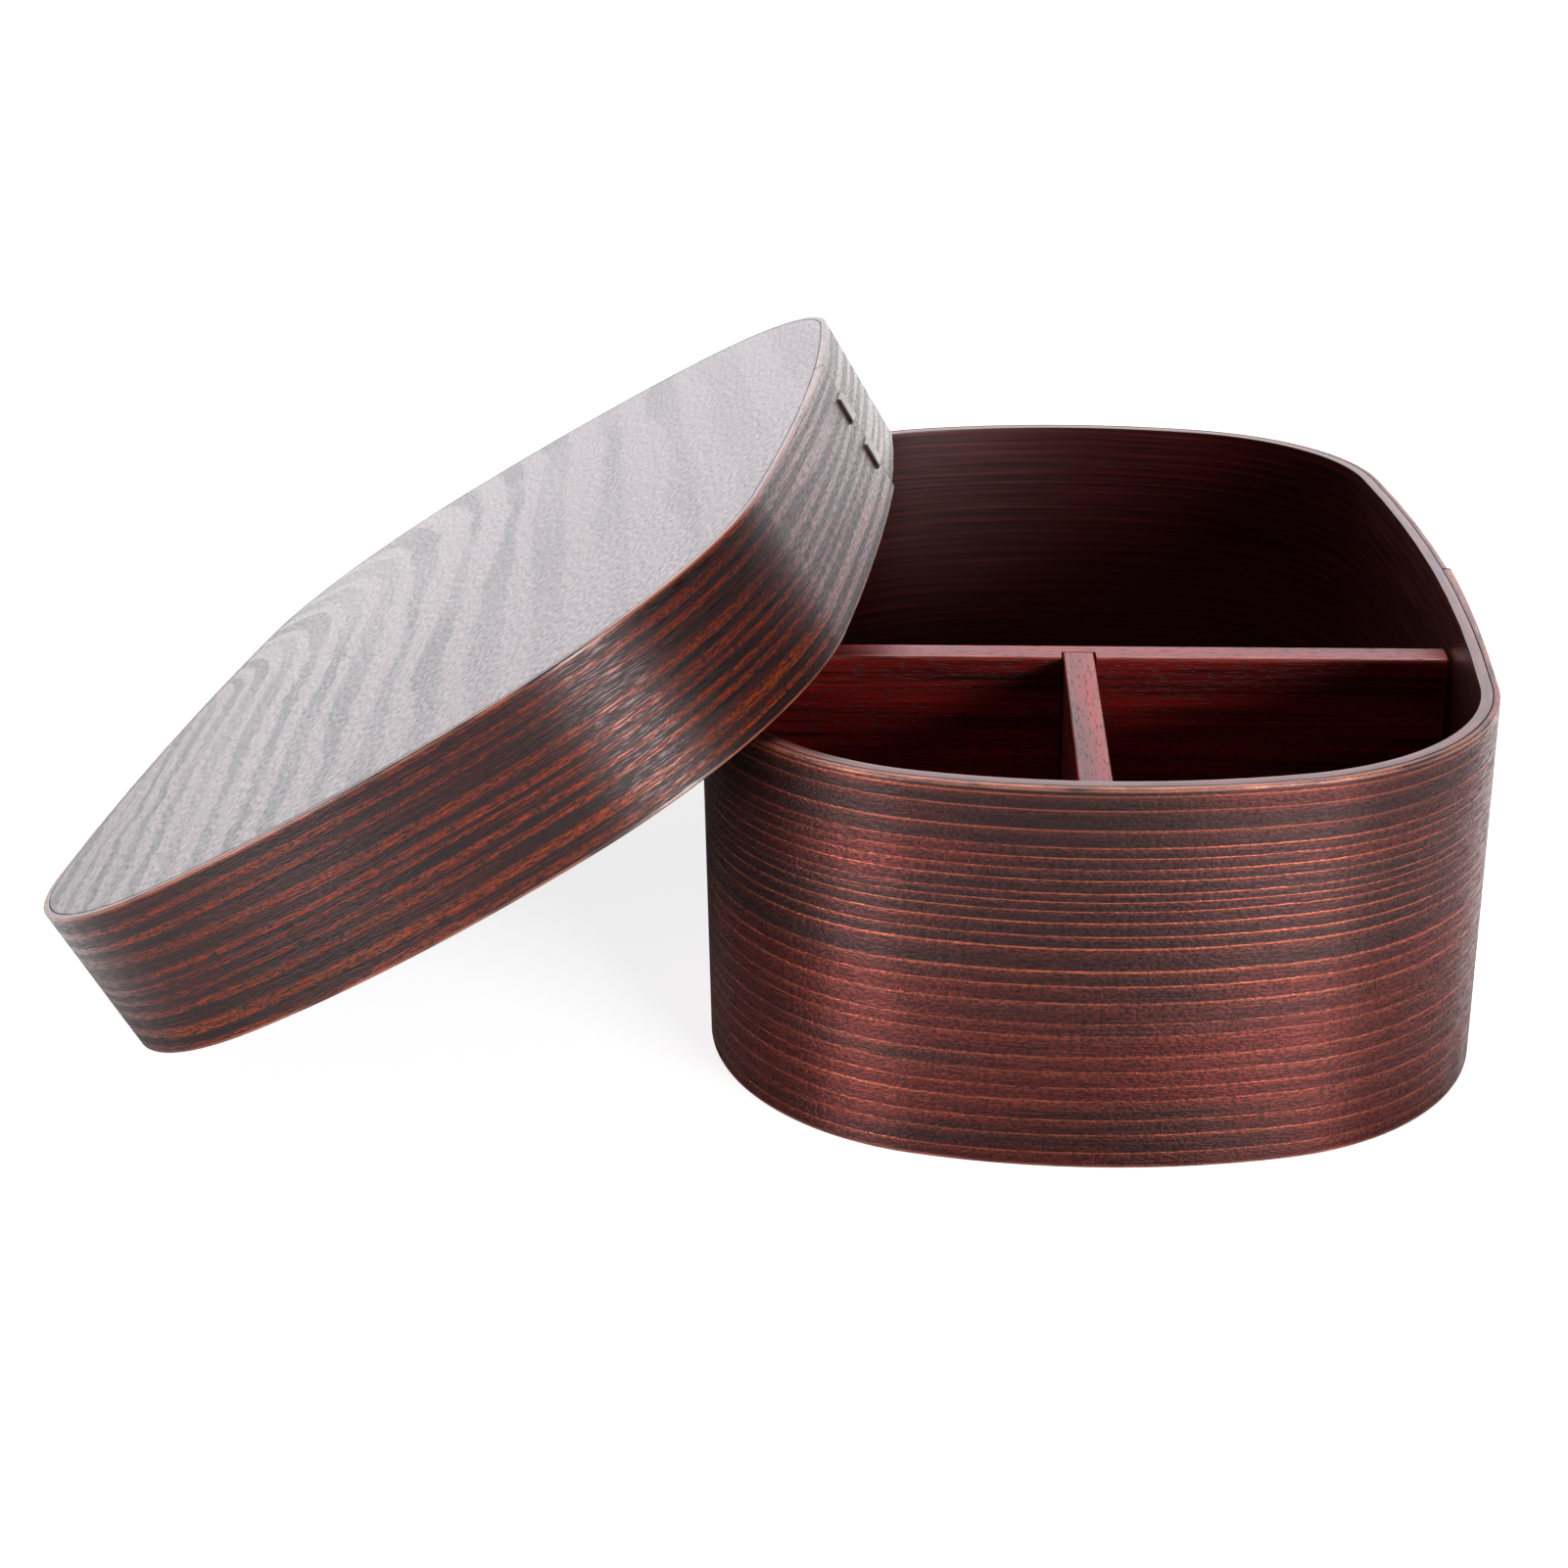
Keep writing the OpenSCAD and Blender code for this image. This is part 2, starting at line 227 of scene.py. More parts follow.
class Plan:
    """Oblong plan of eight arcs that run smoothly into each other.

    It is walked anticlockwise from the right side's middle. A point at a walk is its arc's centre plus the
    radius times the outward direction. Growing the plan adds the same length to every radius.
    """

    def __init__(self, sizes, half_w, half_l):
        side_x = half_w - sizes.side_r
        end_y = half_l - sizes.end_r
        line = np.array([-side_x, end_y])
        distance = np.hypot(*line)
        reach = sizes.side_r - sizes.corner_r
        along = (reach**2 - (sizes.end_r - sizes.corner_r) ** 2 + distance**2) / (2 * distance)
        across = math.sqrt(reach**2 - along**2)
        x, y = np.array([side_x, 0]) + (along * line + across * np.array([-line[1], line[0]])) / distance
        near = math.atan2(y, x - side_x)
        far = math.atan2(y - end_y, x)
        half = math.pi
        self.centres = np.array([
            [side_x, 0], [x, y], [0, end_y], [-x, y],
            [-side_x, 0], [-x, -y], [0, -end_y], [x, -y], [side_x, 0]])
        corner_to_side = [sizes.corner_r, sizes.end_r, sizes.corner_r, sizes.side_r]
        self.radii = np.array([sizes.side_r, *corner_to_side, *corner_to_side])
        self.angles = np.array([
            0, near, far, half - far, half - near,
            half + near, half + far, 2 * half - far, 2 * half - near, 2 * half])
        self.walks = np.concatenate([[0], np.cumsum(self.radii * np.diff(self.angles))])
        self.total = self.walks[-1]
        self.half_l = half_l

    def outward(self, walk):
        """Arc's centre, radius and outward direction at each walk."""
        walk = np.mod(walk, self.total)
        arc = np.clip(np.searchsorted(self.walks, walk, side="right") - 1, 0, len(self.radii) - 1)
        turn = self.angles[arc] + (walk - self.walks[arc]) / self.radii[arc]
        return self.centres[arc], self.radii[arc], np.stack([np.cos(turn), np.sin(turn)], -1)

    def points(self, walk, grow):
        """Plan points at each walk for each growth: the two arrays broadcast against each other."""
        centre, radius, outward = self.outward(walk)
        return centre + (radius + grow)[..., None] * outward

    def side_walk(self, y):
        """Walk of the place y on the right side."""
        return self.radii[0] * math.asin(y / self.radii[0])

    def side_reach(self, y, grow):
        """Half width of the plan at y, between the corners."""
        return self.centres[0, 0] + np.sqrt((self.radii[0] + grow) ** 2 - y**2)

    def end_reach(self, x, grow):
        """Half length of the plan at x, between the corners."""
        return self.centres[2, 1] + np.sqrt((self.radii[2] + grow) ** 2 - x**2)

    def stations(self, start, marks=(), clear=(0, 0), turn_step=math.radians(2.5)):
        """Walks once round from start: evenly spaced on each arc, and at each mark.

        Inside the clear stretch there are none.
        """
        spans = [
            np.linspace(a, b, 2 + int((turn_b - turn_a) / turn_step), endpoint=False)
            for a, b, turn_a, turn_b in zip(self.walks, self.walks[1:], self.angles, self.angles[1:])]
        walks = start + np.mod(np.concatenate(spans) - start, self.total)
        walks = walks[(walks < clear[0]) | (walks > clear[1])]
        return np.unique(np.round(np.concatenate([walks, [start, start + self.total], marks]), 7))


def node_box(node, placement):
    """Lowest and highest corner of a CAD node at rest, in the frame that a placement starts from."""
    mesh = frame["nodes"][node].data
    points = np.empty(len(mesh.vertices) * 3)
    mesh.vertices.foreach_get("co", points)
    back = np.array(placement.inverted())
    points = points.reshape(-1, 3) @ back[:3, :3].T + back[:3, 3]
    return Vector(points.min(0)), Vector(points.max(0))


def lid_placement(angles):
    """Placement of the lid: carries its own frame, with its top at height 0, to where the lid leans."""
    turned = Matrix.Rotation(angles.turn, 4, "Z") @ Matrix.Rotation(-angles.lean, 4, "Y")
    low, high = node_box("lid_top_board", turned)
    middle = (low + high) / 2
    return turned @ Matrix.Translation((middle.x, middle.y, high.z))


def placed(points, placement):
    """Points carried by a placement matrix."""
    matrix = np.array(placement)
    return points @ matrix[:3, :3].T + matrix[:3, 3]


def surface_mesh(name, points, grain, wear, skipped=None, joins=None):
    """Mesh of a grid of points: one quad for each cell that isn't skipped, and quads that join grid points.

    Points that meet are welded, which closes seams and poles, and the signed volume turns faces outwards.
    """
    rows, columns = points.shape[:2]
    index = np.arange(rows * columns).reshape(rows, columns)
    quads = np.stack([index[:-1, :-1], index[1:, :-1], index[1:, 1:], index[:-1, 1:]], -1)
    quads = quads.reshape(-1, 4) if skipped is None else quads[~skipped]
    if joins is not None:
        quads = np.concatenate([quads, index[joins[..., 0], joins[..., 1]]])
    flat = points.reshape(-1, 3)
    a, b, c, d = (flat[quads[:, k]] for k in range(4))
    volume = np.einsum("ij,ij->i", a, np.cross(b, c) + np.cross(c, d)).sum()
    if volume < 0:
        quads = quads[:, ::-1]
    mesh = bpy.data.meshes.new(name)
    mesh.vertices.add(len(flat))
    mesh.vertices.foreach_set("co", flat.ravel())
    mesh.loops.add(quads.size)
    mesh.loops.foreach_set("vertex_index", quads.ravel())
    mesh.polygons.add(len(quads))
    mesh.polygons.foreach_set("loop_start", np.arange(0, quads.size, 4))
    mesh.update(calc_edges=True)
    laid = mesh.uv_layers.new(name=GRAIN)
    laid.data.foreach_set("uv", (grain.reshape(-1, 2)[quads.ravel()] / MM).ravel())
    worn = mesh.attributes.new(WEAR, "FLOAT", "POINT")
    worn.data.foreach_set("value", wear.ravel())
    shape = bmesh.new()
    shape.from_mesh(mesh)
    bmesh.ops.remove_doubles(shape, verts=shape.verts, dist=WELD)
    shape.to_mesh(mesh)
    shape.free()
    mesh.polygons.foreach_set("use_smooth", np.ones(len(mesh.polygons), bool))
    mesh.set_sharp_from_angle(angle=SHARP_TURN)
    return mesh


def add_piece(mesh, material, node):
    """Shows a mesh in place of a CAD node, riding on that node's body."""
    piece = bpy.data.objects.new(mesh.name, mesh)
    bpy.context.scene.collection.objects.link(piece)
    mesh.materials.append(material)
    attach(piece, frame["nodes"][node]["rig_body"])
    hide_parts(node)


def run_along(line):
    """Distance run along a line of points, from 0 at the first one."""
    steps = np.linalg.norm(np.diff(line, axis=0), axis=1)
    return np.concatenate([[0], np.cumsum(steps)])


class Lacing:
    """Where a bark strip runs: its slits, its stitches and its faces, read from the lacing's own box."""

    def __init__(self, node, placement, sizes):
        self.sizes = sizes
        self.low, self.high = node_box(node, placement)
        height = self.high.z - self.low.z
        self.count = 1 + round((height - sizes.stitch_l) / sizes.stitch_pitch)
        self.tops = self.high.z - sizes.stitch_pitch * np.arange(self.count)
        self.lap_y = self.high.y + sizes.strip_inset

    def slits(self):
        """Lower and upper edge of each slit, from the lowest up."""
        low = np.sort(np.concatenate([self.tops - self.sizes.strip_t, self.tops - self.sizes.stitch_l]))
        gap = self.sizes.slit_gap
        return np.stack([low - gap, low + self.sizes.strip_t + gap], -1)

    def walks(self, plan):
        """Walks of the slits' two ends, on the last stretch before the lap's end."""
        ends = self.low.y - self.sizes.slit_gap, self.high.y + self.sizes.slit_gap
        return [plan.side_walk(y) + plan.total for y in ends]

    def bed(self):
        """Lower and upper edge of the bed behind the outer band."""
        return self.low.z - self.sizes.slit_gap, self.high.z + self.sizes.slit_gap

    def bed_depth(self, plan, grow):
        """Depth of the bed in the face of a band that the plan is grown to."""
        return plan.side_reach((self.low.y + self.high.y) / 2, grow) - self.low.x + self.sizes.slit_gap

    def corners(self):
        """The strip's middle line, across and up: a tail, out and in for each stitch, and another tail."""
        sizes = self.sizes
        half = sizes.strip_t / 2
        inside = self.low.x + half
        outside = self.high.x - half
        bottoms = self.tops - sizes.stitch_l
        across = np.tile([inside, outside, outside, inside], self.count)
        up = np.stack([self.tops - half, self.tops - half, bottoms + half, bottoms + half], -1).ravel()
        line = np.stack([across, up], -1)
        first = [inside, self.tops[0] - sizes.tail_l]
        last = [inside, bottoms[-1] + sizes.tail_l]
        return np.concatenate([[first], line, [last]])


def cheek(foot, top, edge, levels):
    """One face of a section, from foot to top: how far each point is set back, and its height.

    Both ends are quarter circles of the edge's radius, and the levels lie on the face itself.
    """
    turn = np.linspace(0, math.pi / 2, ROUND_STEPS + 1)
    curl = edge * (1 - np.sin(turn))
    lift = edge * (1 - np.cos(turn))
    setback = np.concatenate([curl, 0 * levels, curl[::-1]])
    height = np.concatenate([foot + lift, levels, top - lift[::-1]])
    return setback, height


class BandSection:
    """Closed section of a band: up its outer face, over the top, down its inner face and along the foot.

    Each point has its place across the wall, its height, the distance run so far, whether it is on the
    outer face and how worn it is. The levels are heights on the two faces at which the section has points.
    """

    def __init__(self, faces, heights, rounds, levels):
        outer_back, outer_height = cheek(*heights, rounds[0], levels)
        inner_back, inner_height = cheek(*heights, rounds[1], levels)
        self.first = ROUND_STEPS + 1
        self.count = len(outer_back)
        worn = np.concatenate([outer_back > 0, 0.5 * (inner_back[::-1] > 0)])
        worn[[self.first - 1, self.first + len(levels)]] = 1
        across = np.concatenate([faces[0] - outer_back, faces[1] + inner_back[::-1]])
        height = np.concatenate([outer_height, inner_height[::-1]])
        on_outer = np.repeat([1.0, 0.0], self.count)
        self.across, self.height, self.on_outer, self.worn = (
            np.append(values, values[0]) for values in (across, height, on_outer, worn))
        self.run = run_along(np.stack([self.across, self.height], -1))
        self.run += self.height[self.first] - heights[0] - self.run[self.first]

    def swept(self, plan, walk, grow, start):
        """Points, grain and wear where the section, grown at each place, is carried along the plan."""
        outline = plan.points(walk[:, None] + 0 * self.run, self.across + grow)
        up = np.broadcast_to(self.height, grow.shape)
        grain = np.stack(np.broadcast_arrays((walk - start)[:, None], self.run), -1)
        return np.concatenate([outline, up[..., None]], -1), grain, np.broadcast_to(self.worn, grow.shape)


def outer_band_surface(name, plan, faces, heights, rim, sizes, lacing, placement):
    """Lapped outer band: a rounded section carried once round the plan, from the lap's end back to it.

    Over the lap's length the outer face rises evenly to the lap's step, and a short slant at the end brings
    it back, so that the last row meets the first. At each slit a cell is left out of both faces, and four
    quads line it.
    """
    lap = lacing.sizes
    slits = lacing.slits()
    worn_edge = rim + sizes.worn_w
    levels = np.concatenate([[heights[0] + worn_edge], slits.ravel(), [heights[1] - worn_edge]])
    section = BandSection(faces, heights, (rim, sizes.edge_round), levels)
    strip = lacing.walks(plan)
    end = plan.side_walk(lacing.lap_y)
    closed = end + plan.total
    start = closed - lap.lap_len
    tip = closed - sizes.edge_round
    walk = plan.stations(end, [*strip, start, tip], strip)
    rise = lap.lap_step * np.interp(walk, [start, tip, closed], [0, 1, 0])
    points, grain, wear = section.swept(plan, walk, rise[:, None] * section.on_outer, end)
    row = int(np.argmin(abs(walk - strip[0])))
    outer_cell = section.first + 1 + 2 * np.arange(len(slits))
    inner_cell = 2 * section.count - 1 - outer_cell
    skipped = np.zeros((points.shape[0] - 1, points.shape[1] - 1), bool)
    skipped[row, outer_cell] = True
    skipped[row, inner_cell - 1] = True
    sides = [((0, 0), (1, 0)), ((1, 0), (1, 1)), ((1, 1), (0, 1)), ((0, 1), (0, 0))]
    joins = np.array([
        [(row + a, o + b), (row + c, o + d), (row + c, i - d), (row + a, i - b)]
        for o, i in zip(outer_cell, inner_cell) for (a, b), (c, d) in sides])
    return surface_mesh(name, placed(points, placement), grain, wear, skipped, joins)


def inner_band_surface(name, plan, faces, heights, sizes, lacing, placement):
    """Inner band: an eased section carried once round the plan, with the strip's bed in its outer face.

    Two rows and two levels lie on each edge of the bed, and the inner ones are set back to the bed's floor.
    """
    worn_edge = sizes.edge_round + sizes.worn_w
    bed = np.repeat(lacing.bed(), 2)
    levels = np.concatenate([[heights[0] + worn_edge], bed, [heights[1] - worn_edge]])
    section = BandSection(faces, heights, (sizes.edge_round, sizes.edge_round), levels)
    strip = lacing.walks(plan)
    end = plan.side_walk(lacing.lap_y)
    walk = np.sort(np.concatenate([plan.stations(end, strip, strip), strip]))
    row = int(np.argmin(abs(walk - strip[0])))
    sunk = np.zeros((len(walk), len(section.run)))
    sunk[row + 1:row + 3, section.first + 2:section.first + 4] = lacing.bed_depth(plan, faces[0])
    points, grain, wear = section.swept(plan, walk, -sunk, end)
    return surface_mesh(name, placed(points, placement), grain, wear)


def board_surface(name, plan, grow, heights, sizes, placement):
    """Flat board of the plan's outline, as rings from its lower face's middle to its upper face's.

    A ring is the outline shrunk towards the middle, and the rings at the edge follow quarter circles.
    """
    edge = sizes.edge_round
    setback, height = cheek(*heights, edge, np.array(heights).mean(keepdims=True))
    flat = np.ones(len(RING_SHARES))
    side = np.ones(len(setback))
    inner = flat * (grow - edge - sizes.worn_w)
    share = np.concatenate([RING_SHARES, side, RING_SHARES[::-1]])
    ring_grow = np.concatenate([inner, grow - setback, inner])
    ring_z = np.concatenate([flat * heights[0], height, flat * heights[1]])
    corner = np.concatenate([0 * flat, side, 0 * flat])
    walk = plan.stations(0)
    shape = (len(walk), len(share))
    outline = plan.points(walk[:, None] + 0 * share, np.broadcast_to(ring_grow, shape)) * share[:, None]
    points = np.concatenate([outline, np.broadcast_to(ring_z, shape)[..., None]], -1)
    return surface_mesh(name, placed(points, placement), outline, np.broadcast_to(corner, shape))


def bar_section(low, high, edge, worn_w):
    """Closed section of an eased bar: a core rectangle, and the direction to add the edge's radius in.

    Each corner is a quarter circle, with one more point on each flat beside it, where the wear ends.
    """
    turn = np.concatenate([[0], np.linspace(0, 1, ROUND_STEPS + 1), [1]])
    slide = np.zeros(len(turn))
    slide[[0, -1]] = -worn_w, worn_w
    angles = ((np.arange(4)[:, None] + turn) * math.pi / 2).ravel()
    direction = np.stack([np.cos(angles), np.sin(angles)], -1)
    tangent = np.stack([-np.sin(angles), np.cos(angles)], -1)
    (a, b), (c, d) = np.array(low) + edge, np.array(high) - edge
    corners = np.array([[c, d], [a, d], [a, b], [c, b]])
    core = np.repeat(corners, len(turn), axis=0) + np.tile(slide, 4)[:, None] * tangent
    worn = np.tile(slide == 0, 4).astype(float)
    return tuple(np.concatenate([x, x[:1]]) for x in (core, direction, worn))


def divider_surface(name, low, high, ends, sizes, axes, groove=((), ())):
    """Board on edge: an eased section carried along its length, with eased ends that follow the walls.

    Low and high are (along, across, up), and ends gives where the board starts and stops at each place
    across. At an end the edge's radius falls as a quarter circle, and the section closes on its middle.
    A groove (places along, depths) sets the face on the low side back.
    """
    edge = sizes.divider_round
    core, direction, corner = bar_section(low[1:], high[1:], edge, sizes.worn_w)
    section = core + edge * direction
    middle = (np.array(low[1:]) + np.array(high[1:])) / 2
    fall = np.linspace(0, math.pi / 2, ROUND_STEPS + 1)
    lead_r = edge * np.concatenate([[0], np.sin(fall), [1]])
    lead_back = np.concatenate([[0], edge * (1 - np.cos(fall)), [edge + sizes.worn_w]])
    lead_share = np.concatenate([[0], np.ones(len(fall) + 1)])
    lead_worn = np.concatenate([np.ones(len(fall) + 1), [0]])
    places, depths = (np.array(x, float) for x in groove)
    plain = np.ones(len(places))
    first, last = ends(section[:, 0])
    along = np.concatenate([
        first + lead_back[:, None], places[:, None] + 0 * first, last - lead_back[::-1, None]])
    radius = np.concatenate([lead_r, edge * plain, lead_r[::-1]])[:, None, None]
    share = np.concatenate([lead_share, plain, lead_share[::-1]])[:, None, None]
    sunk = np.concatenate([0 * lead_r, depths, 0 * lead_r])[:, None]
    worn = np.concatenate([lead_worn, 0 * plain, lead_worn[::-1]])[:, None]
    along[0], along[-1] = ends(middle[:1])
    place = middle + share * (core - middle) + radius * direction
    place[..., 0] += sunk * (core[:, 0] < middle[0])
    points = np.concatenate([along[..., None], place], -1)[..., axes]
    grain = np.stack(np.broadcast_arrays(along, run_along(section)), -1)
    return surface_mesh(name, points, grain, np.maximum(corner, worn))


def strip_surface(name, lacing, placement):
    """Bark strip: an eased section, thick across the wall and wide along it, carried along the folded line.

    Each corner of the line is a quarter circle: its centre plus the radius times a turning direction.
    """
    sizes = lacing.sizes
    corners = lacing.corners()
    step = np.diff(corners, axis=0)
    step /= np.linalg.norm(step, axis=1)[:, None]
    turn = np.linspace(0, math.pi / 2, FOLD_STEPS + 1)[:, None]
    enter, leave = step[:-1, None], step[1:, None]
    bow = leave * (1 - np.cos(turn)) - enter * (1 - np.sin(turn))
    folds = corners[1:-1, None] + sizes.fold_r * bow
    heading = enter * np.cos(turn) + leave * np.sin(turn)
    line = np.concatenate([corners[:1], corners[:1], folds.reshape(-1, 2), corners[-1:], corners[-1:]])
    heading = np.concatenate([step[:1], step[:1], heading.reshape(-1, 2), step[-1:], step[-1:]])
    side = np.stack([-heading[:, 1], heading[:, 0]], -1)
    share = np.ones(len(line))
    share[[0, -1]] = 0
    half = np.array([sizes.strip_t, lacing.high.y - lacing.low.y]) / 2
    edge = half[0] * STRIP_ROUND
    core, direction, _ = bar_section(-half, half, edge, half[0] - edge)
    # The cut sides, 1 in the wear attribute, are where the bark finish paints shade.
    painted_shade_sides = np.abs(direction[:, 1])
    section = core + edge * direction
    thick, wide = share[:, None] * section[:, 0], share[:, None] * section[:, 1]
    across = line[:, None] + thick[..., None] * side[:, None]
    middle = (lacing.low.y + lacing.high.y) / 2
    points = np.stack([across[..., 0], middle + wide, across[..., 1]], -1)
    grain = np.stack(np.broadcast_arrays(run_along(line)[:, None], run_along(section)), -1)
    return surface_mesh(name, placed(points, placement), grain, np.broadcast_to(painted_shade_sides, points.shape[:2]))


def math_pair(operation):
    """An operator and its reflected form: a Math node over two values, in either order."""

    def plain(first, second):
        return first.maths(operation, first, second)

    def reflected(second, first):
        return second.maths(operation, first, second)

    return plain, reflected


class Value:
    """A shader socket that takes part in Python sums: each operation adds one Math node."""

    def __init__(self, nodes, socket):
        self.nodes = nodes
        self.socket = socket

    __add__, __radd__ = math_pair("ADD")
    __sub__, __rsub__ = math_pair("SUBTRACT")
    __mul__, __rmul__ = math_pair("MULTIPLY")
    __truediv__, __rtruediv__ = math_pair("DIVIDE")
    __pow__, __rpow__ = math_pair("POWER")

    def out(self, name):
        """Another output of the same node."""
        return Value(self.nodes, self.socket.node.outputs[name])

    def maths(self, operation, *values):
        """A Math node over the values, in their order."""
        return self.nodes.node("Math", {"operation": operation}, dict(enumerate(values)))

    def whole(self):
        """The whole part, which numbers the rings."""
        return self.maths("FLOOR", self)

    def part(self):
        """The part after the point, which runs from 0 to 1 across a ring."""
        return self.maths("FRACT", self)

    def log(self):
        """The natural logarithm."""
        return self.maths("LOGARITHM", self, math.e)

    def least(self, other):
        """The smaller of two values."""
        return self.maths("MINIMUM", self, other)

    def most(self, other):
        """The larger of two values."""
        return self.maths("MAXIMUM", self, other)


def opaque(stain):
    """A colour with its alpha, or a link as it is."""
    return stain if isinstance(stain, Value) else (*stain, 1.0)


class Nodes:
    """Node tree, with one method for any node."""

    def __init__(self, tree):
        self.tree = tree

    def feed(self, socket, value):
        """Links a value to a socket, or sets the socket to a number or a colour."""
        if isinstance(value, Value):
            self.tree.links.new(value.socket, socket)
        else:
            socket.default_value = value

    def node(self, kind, settings=None, sockets=None, output=0):
        """Adds a node: its settings first, then the values or links of its sockets. Gives one output."""
        node = self.tree.nodes.new("ShaderNode" + kind)
        for key, value in (settings or {}).items():
            setattr(node, key, value)
        for key, value in (sockets or {}).items():
            self.feed(node.inputs[key], value)
        return Value(self, node.outputs[output])

    def step(self, low, high, value):
        """Smooth step from 0 at low to 1 at high."""
        sockets = {"Value": value, "From Min": low, "From Max": high}
        return self.node("MapRange", {"interpolation_type": "SMOOTHSTEP"}, sockets)

    def between(self, rise, fall, value):
        """1 between two smooth steps, a rise and a fall, each from one value to another."""
        return self.step(*rise, value) * (1 - self.step(*fall, value))

    def blend(self, share, first, second):
        """Colour that runs from the first at 0 to the second at 1."""
        sockets = {0: share, 6: opaque(first), 7: opaque(second)}
        return self.node("Mix", {"data_type": "RGBA"}, sockets, output=2)


class Finish(Nodes):
    """A material: the grain, wear, random fields and stains of a wood, and the lacquer that ends it."""

    def __init__(self, name):
        self.material = bpy.data.materials.new(name)
        self.material.use_nodes = True
        super().__init__(self.material.node_tree)
        self.shader = self.tree.nodes["Principled BSDF"]

    def grain(self):
        """Millimetres along and across the piece's grain."""
        laid = self.node("UVMap", {"uv_map": GRAIN})
        split = self.node("SeparateXYZ", sockets={"Vector": laid})
        return split.out("X"), split.out("Y")

    def wear(self):
        """How worn: 1 on an edge, 0 away from it; on the bark strip, 1 on the cut sides, which carry
        painted shade.
        """
        return self.node("Attribute", {"attribute_name": WEAR}).out("Fac")

    def polish(self):
        """Edges that handling has polished: 1 on all of an edge, 0 away from it."""
        return self.step(0.1, 0.5, self.wear())

    def slant(self, low, high):
        """Rises from 0 to 1 as the surface is seen more aslant, for a sheen."""
        return self.step(low, high, self.node("LayerWeight", sockets={"Blend": 0.5}).out("Facing"))

    def clouds(self, u, v, seed, detail=2.0):
        """A soft random field of two coordinates, from about 0.2 to 0.8 with a mean of a half."""
        place = self.node("CombineXYZ", sockets={"X": u, "Y": v, "Z": seed})
        return self.node("TexNoise", sockets={"Vector": place, "Scale": 1.0, "Detail": detail})

    def sway(self, u, v, seed, amount, detail=2.0):
        """A soft random shift: the field less its mean, times an amount."""
        return (self.clouds(u, v, seed, detail) - 0.5) * amount

    def pores(self, u, v, seed):
        """Fine open pores of the walls: 1 in a pore."""
        return self.step(0.44, 0.57, self.clouds(u * 1.3, v * 2.6, seed))

    def lapped(self, wood, stain, u, v, girth, seed, share):
        """Stain of an outer band, worn on its edges and dark at its lap's end, and where that end is.

        The lap's end sets in 0.9 mm before the band's girth is run, and is full from 0.6 mm before it.
        """
        patches = self.step(0.3, 0.6, self.clouds(u / 9, v / 2, seed))
        stain = self.blend(self.step(0.3, 1.0, self.wear()) * patches * share, stain, wood.worn)
        end = self.step(girth - 0.9, girth - 0.6, u)
        return self.blend(end, stain, wood.soot_and_painted_shade), end

    def lacquer(
            self, stain, gloss, relief, depth, tint=(1, 1, 1),
            shine=0.9, lustre=0.0, brushed=0.0, coat=0.0):
        """Ends the finish: the stain, its roughness and the relief of the grain, whose depth is in metres.

        The lacquer may be tinted, the fibres under it may have a lustre of their own stain, a brushed grain
        spreads what they mirror, and a clear coat may lie on top.
        """
        bump = self.node("Bump", sockets={"Strength": 1.0, "Distance": depth, "Height": relief})
        fed = {
            "Base Color": stain, "Roughness": gloss, "Normal": bump, "Metallic": lustre,
            "Specular IOR Level": shine, "Specular Tint": opaque(tint),
            "Anisotropic": brushed, "Anisotropic Rotation": GRAIN_TURN,
            "Coat Weight": coat, "Coat Roughness": COAT_ROUGHNESS}
        for name, value in fed.items():
            self.feed(self.shader.inputs[name], value)
        return self.material


def fine_ring_wood(wood, girth):
    """Wall of the box: thin ember rings on charcoal, closer above the middle and redder lower down."""
    f = Finish("fine_ring_wood")
    u, v = f.grain()
    pitch = 2.45
    height = v + f.sway(u / 150, v / 60, 1, 3) + f.sway(u / 30, v / 5, 2, 0.2)
    rings = height / pitch + f.step(33, 48, height) * 3.2 + f.sway(height / 6, 0, 3, 1.8)
    across = rings.part()
    line = f.between((0.82, 0.90), (0.94, 0.99), across)
    glow = f.between((0.35, 0.95), (0.95, 1.0), across)
    strong = f.step(0.35, 0.6, f.clouds(u / 60, rings.whole() * 3.7, 4))
    low = 1 - f.step(20, 33, height)
    high = f.step(41, 50, v)
    streak = f.clouds(u / 18, v * 2.5, 5, 4)
    speck = f.step(0.42, 0.58, f.clouds(u * 0.22, v * 3.6, 6, 3))
    pores = f.pores(u, v, 9)
    red = f.step(0.42, 0.66, f.clouds(u / 45, v / 7, 7) + 0.14 * low - 0.05)
    rubbed = line * (0.35 + 0.65 * strong) * (1 - 0.35 * low)
    scorched = (speck * 0.25 + pores * 0.5 * (1 - 0.5 * rubbed)).most(high * 0.5)
    stain = f.blend(0.1 + red * 0.6 + 0.4 * (streak - 0.5), wood.charcoal, wood.red_brown)
    stain = f.blend(glow * 0.2 + low * 0.15 * f.step(0.45, 0.7, streak), stain, wood.ember)
    stain = f.blend(rubbed, stain, wood.ember)
    stain = f.blend(scorched, stain, wood.soot_and_painted_shade)
    stain, end = f.lapped(wood, stain, u, v, girth, seed=8, share=0.8)
    gloss = 0.28 + 0.13 * speck + 0.13 * pores - 0.05 * rubbed + 0.08 * high
    relief = 0.3 * line + 0.5 * streak - 0.25 * speck - 0.5 * pores
    sheen = (0.14 + 0.6 * f.polish()).most(f.slant(0.5, 0.85) * (0.75 - 0.7 * speck))
    return f.lacquer(
        stain, gloss, relief, 0.06 * MM, wood.fibre, shine=0.9, lustre=0.7, brushed=0.85,
        coat=sheen * (1 - end))


